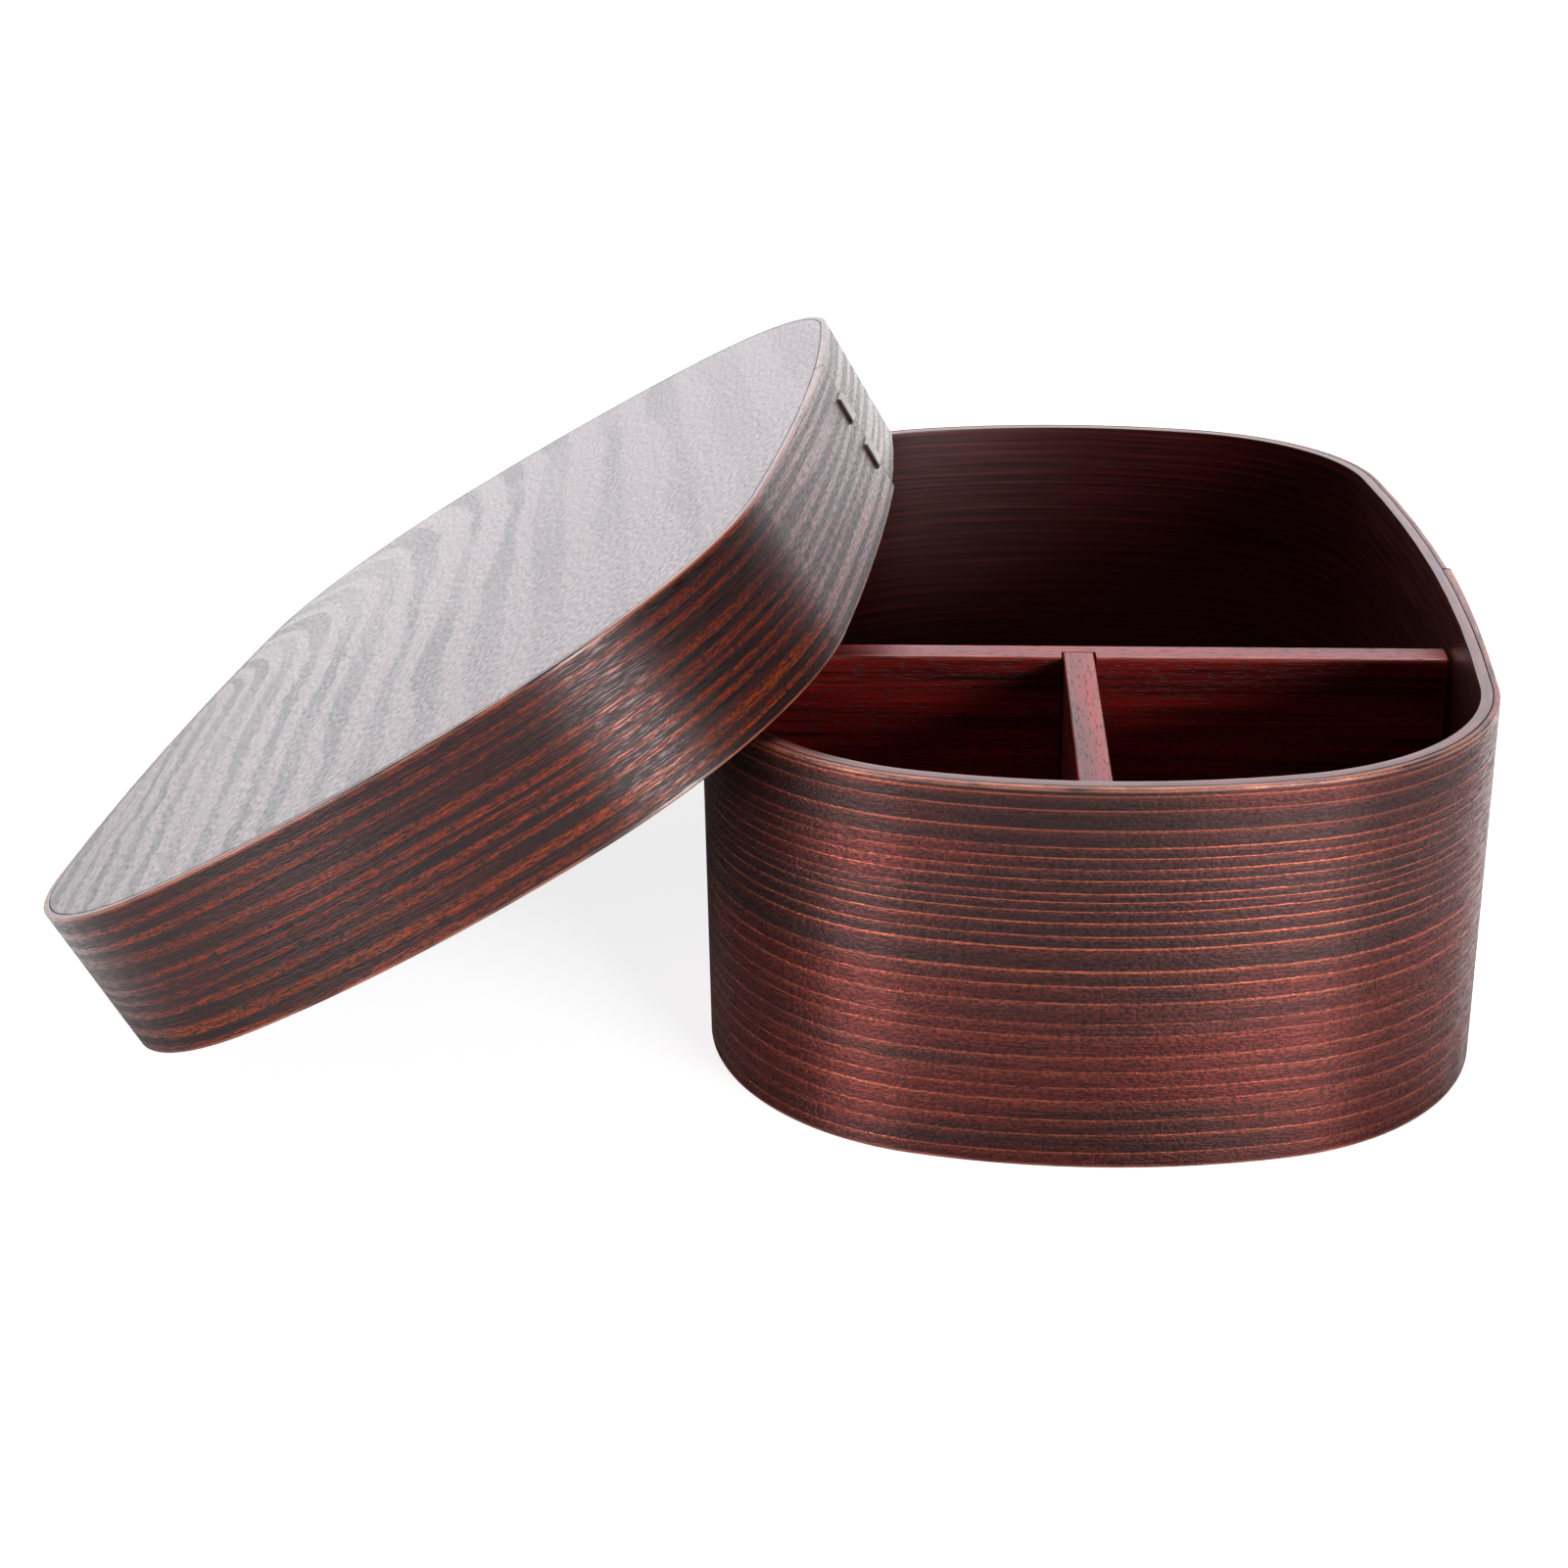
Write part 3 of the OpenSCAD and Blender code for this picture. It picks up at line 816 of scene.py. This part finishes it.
def broad_ring_wood(wood, girth):
    """Wall of the lid: uneven orange and scorched stripes that run round it, streaked by the fibres."""
    f = Finish("broad_ring_wood")
    u, v = f.grain()
    pitch = 2.3
    height = v + f.sway(u / 130, v / 40, 11, 3) + f.sway(u / 20, v / 3, 12, 0.5)
    rings = height / pitch + f.sway(height / 5, u / 300, 13, 2)
    streak = f.clouds(u / 20, v * 3, 15, 4)
    across = rings.part() + 0.35 * (streak - 0.5)
    strong = f.step(0.3, 0.6, f.clouds(u / 60, rings.whole() * 3.7, 14))
    low = 1 - f.step(3, 12, v)
    begun = f.step(0.48, 0.6, across + 0.15 * low)
    stripe = begun * (1 - f.step(0.88, 1.0, across)) * (0.45 + 0.55 * strong)
    speck = f.step(0.40, 0.62, f.clouds(u * 0.4, v * 4.5, 16, 3))
    pores = f.pores(u, v, 19)
    rubbed = stripe * (0.3 + 0.7 * f.step(0.3, 0.62, streak))
    stain = f.blend(f.step(0.4, 0.7, streak) * 0.5, wood.soot_and_painted_shade, wood.red_brown)
    stain = f.blend(rubbed, stain, f.blend(0.6 + 0.4 * low, wood.red_brown, wood.orange))
    stain = f.blend(speck * 0.65 + pores * 0.45, stain, wood.soot_and_painted_shade)
    stain, end = f.lapped(wood, stain, u, v, girth, seed=18, share=0.6)
    gloss = 0.29 + 0.2 * speck - 0.04 * rubbed
    relief = 0.3 * stripe + 0.6 * streak - 0.4 * speck
    sheen = (0.75 * f.polish()).most(f.slant(0.45, 0.8) * (0.2 + 0.4 * stripe))
    return f.lacquer(
        stain, gloss, relief, 0.05 * MM, wood.lacquer, shine=0.38, lustre=0.1, brushed=0.3,
        coat=sheen * (1 - end))


def arched_board_wood(wood):
    """Top of the lid: broad rings along its length, closer at the left, where they bend towards the back.

    The bend is a parabola that fades from the left edge on. The rings' number is the logarithm of the
    distance from the pith, so that they open evenly.
    """
    f = Finish("arched_board_wood")
    x, y = f.grain()
    left = -64
    pith = -107
    bend = (y - 5).most(0) ** 2 * 0.0105 * math.e ** ((x - left) / -14)
    wave = f.sway(x / 40, y / 60, 21, 5) + f.sway(x / 14, y / 9, 22, 3)
    place = x + 0.2 * y + bend + wave + f.sway(x * 1.5, y / 4, 26, 0.9, 3)
    rings = (place - pith).most(5).log() * 11.8
    across = rings.part()
    narrow = f.step(0.3, 0.7, f.clouds(rings.whole() * 5.3, y / 90, 27))
    band = f.step(0.0, 0.15, across - 0.15 - 0.45 * narrow) * (1 - f.step(0.86, 0.98, across))
    strong = f.step(0.3, 0.7, f.clouds(rings.whole() * 3.7, y / 70, 23))
    fibre = f.clouds(place * 2.2, y / 25, 24, 4)
    speck = f.clouds(x * 1.5, y * 0.8, 25, 4)
    dark = (band * (0.3 + 0.6 * strong) + 0.6 * (fibre - 0.5)).most(0) * (1 - 0.65 * f.step(-20, 40, x))
    stain = f.blend(f.step(0.3, 0.7, fibre) * 0.5, wood.charcoal, wood.red_brown)
    stain = f.blend(f.step(0.55, 0.7, speck) * 0.6, stain, wood.soot_and_painted_shade)
    stain = f.blend(dark, stain, wood.haze)
    gloss = 0.40 + 0.15 * (speck - 0.5)
    relief = 0.4 * fibre - 0.4 * speck
    return f.lacquer(stain, gloss, relief, 0.02 * MM, coat=0.77 - 0.45 * dark - 2.0 * (speck - 0.5))


def inner_wood(wood, name, seed):
    """Inside of the walls and the floor: dark red lacquer over faint rings."""
    f = Finish(name)
    u, v = f.grain()
    pitch = 1.9
    height = v + f.sway(u / 120, v / 40, seed, 4)
    rings = height / pitch + f.sway(height / 5, 0, seed + 1, 2)
    ridge = f.between((0.45, 0.9), (0.93, 1.0), rings.part())
    streak = f.clouds(u / 25, v * 2.2, seed + 2, 4)
    worn = f.wear() * 0.3 * f.step(0.35, 0.65, f.clouds(u / 9, v, seed + 3))
    stain = f.blend(ridge * 0.5 + 0.5 * f.step(0.4, 0.75, streak), wood.inside, wood.inside_red)
    stain = f.blend(worn, stain, wood.ember)
    gloss = 0.38 + 0.25 * (streak - 0.5)
    relief = 0.3 * ridge + 0.7 * streak
    return f.lacquer(stain, gloss, relief, 0.02 * MM, wood.fibre, shine=0.7, coat=0.65 * f.polish())


def divider_wood(wood):
    """Dividers: deep red lacquer with faint fibres and dark pores."""
    f = Finish("divider_wood")
    u, v = f.grain()
    streak = f.clouds(u / 30, v * 1.4, 41, 4)
    slow = f.clouds(u / 80, v / 6, 42)
    pore = f.step(0.56, 0.66, f.clouds(u / 2.2, v * 3, 43, 1))
    worn = f.wear() * 0.35 * f.step(0.35, 0.65, f.clouds(u / 7, v * 2, 44, 3))
    stain = f.blend(f.step(0.3, 0.7, 0.5 * streak + 0.5 * slow), wood.inside, wood.divider)
    stain = f.blend(pore * 0.7, stain, wood.soot_and_painted_shade)
    stain = f.blend(worn, stain, wood.ember)
    gloss = 0.34 + 0.25 * (streak - 0.5) + 0.2 * pore
    relief = 0.7 * streak - 0.5 * pore
    return f.lacquer(stain, gloss, relief, 0.04 * MM, wood.fibre)


def bark(wood):
    """Bark strip: brown and silky, with short dark dashes across it, and its cut sides darkened as painted
    shade.
    """
    f = Finish("bark")
    u, v = f.grain()
    dash = f.step(0.58, 0.68, f.clouds(u * 3, v / 2.0, 51, 2))
    tone = f.clouds(u / 3, v * 2, 52, 3)
    # Painted shade: the cut sides are darkened to soot, and they are rougher and without coat.
    painted_shade_sides = f.step(0.8, 1.0, f.wear())
    stain = f.blend(f.step(0.3, 0.7, tone), wood.bark, tuple(0.6 * c for c in wood.bark))
    stain = f.blend(dash * 0.6, stain, wood.charcoal)
    stain = f.blend(painted_shade_sides, stain, wood.soot_and_painted_shade)
    gloss = 0.36 + 0.2 * (tone - 0.5) + 0.3 * painted_shade_sides
    return f.lacquer(stain, gloss, tone - dash, 0.03 * MM, coat=0.7 * (1 - painted_shade_sides))


def plan_of(settings):
    """The box's plan, from the outer band's box and the radii."""
    low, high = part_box("body_outer_band")
    return Plan(settings.box, -low.x, high.y)


def add_walls(settings, part, body, placement, thicknesses, rim, ring_wood, seed):
    """Lapped outer band and inner band of the box or the lid, each where its CAD node is."""
    sizes = settings.box
    plan = plan_of(settings)
    lacing = Lacing(body + "_lacing", placement, settings.lap)

    def band(node, thickness):
        low, high = node_box(node, placement)
        outer = high.y - plan.half_l
        return (outer, outer - thickness), (low.z, high.z)

    node = body + "_outer_band"
    faces, heights = band(node, thicknesses[0])
    mesh = outer_band_surface(part + "_outer_wall", plan, faces, heights, rim, sizes, lacing, placement)
    add_piece(mesh, ring_wood(settings.wood, plan.total / MM), node)
    node = body + "_inner_band"
    faces, heights = band(node, thicknesses[1])
    mesh = inner_band_surface(part + "_inner_wall", plan, faces, heights, sizes, lacing, placement)
    add_piece(mesh, inner_wood(settings.wood, part + "_inner_wood", seed), node)


def add_board(settings, name, node, placement, finish):
    """Flat board of the plan's outline, where its CAD node is."""
    plan = plan_of(settings)
    low, high = node_box(node, placement)
    mesh = board_surface(name, plan, high.y - plan.half_l, (low.z, high.z), settings.box, placement)
    add_piece(mesh, finish, node)


class LUNCHBOX_OT_box_walls(bpy.types.Operator):
    """Two bent bands of the box, the outer one lapped"""

    bl_idname = "lunch_box.box_walls"
    bl_label = "Box walls"

    def execute(self, context):
        settings = context.scene.lunch_box
        sizes = settings.box
        thicknesses = sizes.box_outer_t, sizes.box_inner_t
        add_walls(settings, "box", "body", UPRIGHT, thicknesses, sizes.rim_round, fine_ring_wood, seed=31)
        return {"FINISHED"}


class LUNCHBOX_OT_box_floor(bpy.types.Operator):
    """Base board inside the outer band"""

    bl_idname = "lunch_box.box_floor"
    bl_label = "Box floor"

    def execute(self, context):
        settings = context.scene.lunch_box
        finish = inner_wood(settings.wood, "floor_wood", seed=61)
        add_board(settings, "box_floor", "base_board", UPRIGHT, finish)
        return {"FINISHED"}


class LUNCHBOX_OT_dividers(bpy.types.Operator):
    """Long divider with its groove, and the cross divider that stands in it"""

    bl_idname = "lunch_box.dividers"
    bl_label = "Dividers"

    def execute(self, context):
        settings = context.scene.lunch_box
        sizes = settings.box
        plan = plan_of(settings)
        finish = divider_wood(settings.wood)
        cross_low, cross_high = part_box("cross_divider")
        low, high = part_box("long_divider")
        shrink = math.hypot(high.x - plan.centres[0, 0], high.y) - plan.radii[0]
        room = sizes.groove_gap
        mouth = room + sizes.edge_round
        places = [cross_low.x - mouth, cross_low.x - room, cross_high.x + room, cross_high.x + mouth]
        depths = sizes.groove_d * np.array([0, 1, 1, 0])

        def side_ends(y):
            reach = plan.side_reach(y, shrink)
            return -reach, reach

        mesh = divider_surface(
            "long_divider_board", (low.x, low.y, low.z), (high.x, high.y, high.z), side_ends, sizes,
            [0, 1, 2], (places, depths))
        add_piece(mesh, finish, "long_divider")
        low, high = cross_low, cross_high
        nearest = max(low.x, 0) + min(high.x, 0)
        shrink = math.hypot(nearest, low.y - plan.centres[6, 1]) - plan.radii[6]

        def front_end(x):
            return -plan.end_reach(x, shrink), np.full(len(x), high.y)

        mesh = divider_surface(
            "cross_divider_board", (low.y, low.x, low.z), (high.y, high.x, high.z), front_end, sizes,
            [1, 0, 2])
        add_piece(mesh, finish, "cross_divider")
        return {"FINISHED"}


class LUNCHBOX_OT_lid_walls(bpy.types.Operator):
    """Two bent bands of the lid, the outer one lapped"""

    bl_idname = "lunch_box.lid_walls"
    bl_label = "Lid walls"

    def execute(self, context):
        settings = context.scene.lunch_box
        sizes = settings.box
        leaning = lid_placement(settings.lid)
        thicknesses = sizes.lid_outer_t, sizes.lid_inner_t
        add_walls(settings, "lid", "lid", leaning, thicknesses, sizes.lid_round, broad_ring_wood, seed=71)
        return {"FINISHED"}


class LUNCHBOX_OT_lid_top(bpy.types.Operator):
    """Flat board let into the lid's outer band"""

    bl_idname = "lunch_box.lid_top"
    bl_label = "Lid top"

    def execute(self, context):
        settings = context.scene.lunch_box
        finish = arched_board_wood(settings.wood)
        add_board(settings, "lid_top", "lid_top_board", lid_placement(settings.lid), finish)
        return {"FINISHED"}


class LUNCHBOX_OT_lacing(bpy.types.Operator):
    """Bark strips that lace the laps of the box and the lid"""

    bl_idname = "lunch_box.lacing"
    bl_label = "Lacing"

    def execute(self, context):
        settings = context.scene.lunch_box
        finish = bark(settings.wood)
        for node, name, placement in (
            ("body_lacing", "box_bark_strip", UPRIGHT),
            ("lid_lacing", "lid_bark_strip", lid_placement(settings.lid)),
        ):
            mesh = strip_surface(name, Lacing(node, placement, settings.lap), placement)
            add_piece(mesh, finish, node)
        return {"FINISHED"}


def photo_camera(scene, studio):
    """Camera of the photo: two angles give its view, and the pixel of the box's origin its place."""
    right = Vector((math.cos(studio.azimuth), math.sin(studio.azimuth), 0))
    level = Vector((-math.sin(studio.azimuth), math.cos(studio.azimuth), 0))
    ahead = level * math.cos(studio.elevation) - Vector((0, 0, math.sin(studio.elevation)))
    up = right.cross(ahead)
    aside, down = (Vector(studio.origin_px) - Vector(studio.axis_px)) * studio.depth / studio.focal
    data = bpy.data.cameras.new("photo_camera")
    data.sensor_width = SENSOR
    data.lens = SENSOR * studio.focal / PHOTO_SIDE
    data.shift_x = 0.5 - studio.axis_px[0] / PHOTO_SIDE
    data.shift_y = studio.axis_px[1] / PHOTO_SIDE - 0.5
    data.clip_start = 0.01
    camera = bpy.data.objects.new("photo_camera", data)
    camera.matrix_world = Matrix((right, up, -ahead)).transposed().to_4x4()
    camera.location = up * down - right * aside - ahead * studio.depth
    scene.collection.objects.link(camera)
    scene.camera = camera


def softbox(scene, name, power, bearing, height, size, distance):
    """Area lamp that faces the box, from a bearing right of its front and a height, both in degrees."""
    turn, rise = math.radians(bearing), math.radians(height)
    level = Vector((math.sin(turn), -math.cos(turn), 0))
    towards = level * math.cos(rise) + Vector((0, 0, math.sin(rise)))
    data = bpy.data.lights.new(name, "AREA")
    data.energy = power
    data.shape = "RECTANGLE"
    data.size, data.size_y = size
    lamp = bpy.data.objects.new(name, data)
    lamp.matrix_world = towards.to_track_quat("Z", "Y").to_matrix().to_4x4()
    lamp.location = LAMP_AIM + towards * distance
    lamp.visible_camera = False
    scene.collection.objects.link(lamp)


def studio_sky(scene, studio):
    """World: white to the camera, and to other rays pale behind the box and darker in front of it."""
    world = bpy.data.worlds.new("studio_sky")
    world.use_nodes = True
    scene.world = world
    n = Nodes(world.node_tree)
    ahead = n.node("SeparateXYZ", sockets={"Vector": n.node("TexCoord")}).out("Y")
    glow = studio.front_sky + (studio.back_sky - studio.front_sky) * n.step(*SKY_TURN, ahead)
    seen = n.node("LightPath")
    background = world.node_tree.nodes["Background"]
    n.feed(background.inputs["Color"], n.blend(seen, SKY_TINT, (1, 1, 1)))
    n.feed(background.inputs["Strength"], glow + seen * (1 - glow))


def paper():
    """Floor: white card, lifted to white where it is seen, and where it is mirrored beyond the shadows."""
    f = Finish("paper")
    card = f.node("BsdfDiffuse", sockets={"Color": opaque(CARD)})
    path = f.node("LightPath")
    place = f.node("TexCoord").out("Object")
    reach = f.node("VectorMath", {"operation": "DISTANCE"}, {0: place, 1: SHADOW_MIDDLE}, "Value")
    away = f.step(*SHADOW_EDGE, reach)
    mirrored = path.out("Is Glossy Ray") + path.out("Is Transmission Ray")
    glow = f.node("Emission", sockets={"Strength": CARD_GLOW})
    lifted = f.node("AddShader", sockets={0: card, 1: glow})
    surface = f.node("MixShader", sockets={0: (path + mirrored * away).least(1), 1: card, 2: lifted})
    f.feed(f.tree.nodes["Material Output"].inputs["Surface"], surface)
    return f.material


class LUNCHBOX_OT_studio(bpy.types.Operator):
    """Pale floor, soft lamps, sky and the camera at the photo's angle"""

    bl_idname = "lunch_box.studio"
    bl_label = "Studio"

    def execute(self, context):
        scene = context.scene
        studio = scene.lunch_box.studio
        photo_camera(scene, studio)
        studio_sky(scene, studio)
        softbox(
            scene, "left_softbox", studio.key_left, bearing=-43, height=3, size=(0.4, 0.12), distance=0.9)
        softbox(
            scene, "right_softbox", studio.key_right, bearing=35, height=9, size=(0.4, 0.28), distance=0.9)
        softbox(
            scene, "overhead_softbox", studio.overhead, bearing=180, height=75, size=(0.9, 0.9),
            distance=1.0)
        corners = np.array([[-1, -1, 0], [1, -1, 0], [1, 1, 0], [-1, 1, 0]]) * studio.floor_w / 2
        mesh = bpy.data.meshes.new("floor")
        mesh.from_pydata(corners - np.array([0, 0, studio.floor_drop]), [], [(0, 1, 2, 3)])
        mesh.materials.append(paper())
        floor = bpy.data.objects.new("floor", mesh)
        scene.collection.objects.link(floor)
        scene.view_settings.view_transform = "Standard"
        return {"FINISHED"}


OPERATORS = (
    LUNCHBOX_OT_box_walls, LUNCHBOX_OT_box_floor, LUNCHBOX_OT_dividers, LUNCHBOX_OT_lid_walls,
    LUNCHBOX_OT_lid_top, LUNCHBOX_OT_lacing, LUNCHBOX_OT_studio)


class LUNCHBOX_PT_pieces(bpy.types.Panel):
    """The pieces' operators, and the settings that they read"""

    bl_idname = "LUNCHBOX_PT_pieces"
    bl_label = "Lunch box"
    bl_space_type = "VIEW_3D"
    bl_region_type = "UI"
    bl_category = "Lunch Box"

    def draw(self, context):
        settings = context.scene.lunch_box
        column = self.layout.column(align=True)
        for operator in OPERATORS:
            column.operator(operator.bl_idname)
        for group in (settings.box, settings.lap, settings.lid, settings.wood, settings.studio):
            column = self.layout.box().column(align=True)
            for name in group.__annotations__:
                column.prop(group, name)


CLASSES = (
    BoxSizes, LapSizes, LeanAngles, WoodColours, StudioSizes, LunchBox, *OPERATORS, LUNCHBOX_PT_pieces)


def register():
    """Registers the classes and hangs the settings on the scene."""
    for item in CLASSES:
        bpy.utils.register_class(item)
    bpy.types.Scene.lunch_box = PointerProperty(type=LunchBox)


def unregister():
    """Takes the settings and the classes away again."""
    del bpy.types.Scene.lunch_box
    for item in reversed(CLASSES):
        bpy.utils.unregister_class(item)


def main():
    """Builds every piece and the studio."""
    register()
    bpy.ops.lunch_box.box_walls()
    bpy.ops.lunch_box.box_floor()
    bpy.ops.lunch_box.dividers()
    bpy.ops.lunch_box.lid_walls()
    bpy.ops.lunch_box.lid_top()
    bpy.ops.lunch_box.lacing()
    bpy.ops.lunch_box.studio()


if __name__ == "__main__":
    main()
